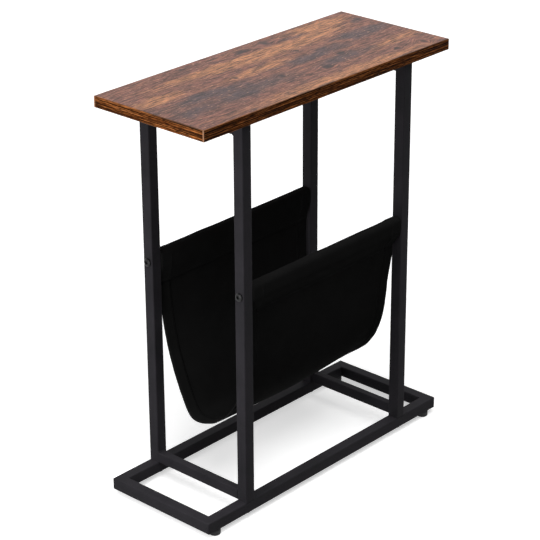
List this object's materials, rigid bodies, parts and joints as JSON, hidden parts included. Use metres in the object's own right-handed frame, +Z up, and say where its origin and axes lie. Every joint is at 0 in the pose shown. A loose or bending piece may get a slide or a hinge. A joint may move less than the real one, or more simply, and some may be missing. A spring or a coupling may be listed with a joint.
{
  "type": "magazine table",
  "caption": "Narrow side table: a wood-print board on a black square-tube frame with a long base, and a cloth sling hung between the legs as a magazine rack.",
  "frame": {"origin": "on the floor, under the middle of the board", "axes": "+X along the board, +Y across it, +Z up"},
  "size_m": [0.5, 0.2, 0.6],
  "materials": {
    "wood_print_laminate": "rustic brown wood-print decor sheet, satin, grain along the length",
    "wood_print_edge_band": "rustic brown wood-print edge strip, satin, streaks along its length",
    "chipboard": "raw pressed chipboard",
    "black_powder_coat": "black powder-coated steel tube, satin with a fine pebbled surface",
    "black_canvas": "black plain-woven canvas, matt",
    "black_oxide_screws": "black steel button-head screws, semi-gloss",
    "zinc_plated_steel": "bright zinc-plated steel",
    "black_foot_plastic": "black moulded plastic, matt"
  },
  "bodies": {
    "table": {"base_rail_front": "black_powder_coat", "base_rail_left": "black_powder_coat", "base_rail_rear": "black_powder_coat", "base_rail_right": "black_powder_coat", "board_inserts": "zinc_plated_steel", "board_screws": "black_oxide_screws", "edge_band_front": "wood_print_edge_band", "edge_band_left": "wood_print_edge_band", "edge_band_rear": "wood_print_edge_band", "edge_band_right": "wood_print_edge_band", "foot_rivet_nuts": "zinc_plated_steel", "leg_bolts": "black_oxide_screws", "leg_front_left": "black_powder_coat", "leg_front_right": "black_powder_coat", "leg_plugs": "zinc_plated_steel", "leg_rear_left": "black_powder_coat", "leg_rear_right": "black_powder_coat", "low_crossbar_left": "black_powder_coat", "low_crossbar_right": "black_powder_coat", "magazine_sling": "black_canvas", "sling_bar_front": "black_powder_coat", "sling_bar_plugs": "zinc_plated_steel", "sling_bar_rear": "black_powder_coat", "sling_screws": "black_oxide_screws", "table_core": "chipboard", "top_crossbar_left": "black_powder_coat", "top_crossbar_right": "black_powder_coat", "top_laminate": "wood_print_laminate", "underside_laminate": "wood_print_laminate"},
    "foot_front_left": {"foot_pad_front_left": "black_foot_plastic", "foot_stud_front_left": "zinc_plated_steel"},
    "foot_front_right": {"foot_pad_front_right": "black_foot_plastic", "foot_stud_front_right": "zinc_plated_steel"},
    "foot_rear_left": {"foot_pad_rear_left": "black_foot_plastic", "foot_stud_rear_left": "zinc_plated_steel"},
    "foot_rear_right": {"foot_pad_rear_right": "black_foot_plastic", "foot_stud_rear_right": "zinc_plated_steel"}
  },
  "joints": [
    {"name": "foot_front_left_screw", "type": "slide", "parent": "table", "child": "foot_front_left", "axis": [0, 0, -1], "range_m": [0, 0.006]},
    {"name": "foot_front_right_screw", "type": "slide", "parent": "table", "child": "foot_front_right", "axis": [0, 0, -1], "range_m": [0, 0.006]},
    {"name": "foot_rear_left_screw", "type": "slide", "parent": "table", "child": "foot_rear_left", "axis": [0, 0, -1], "range_m": [0, 0.006]},
    {"name": "foot_rear_right_screw", "type": "slide", "parent": "table", "child": "foot_rear_right", "axis": [0, 0, -1], "range_m": [0, 0.006]}
  ]
}
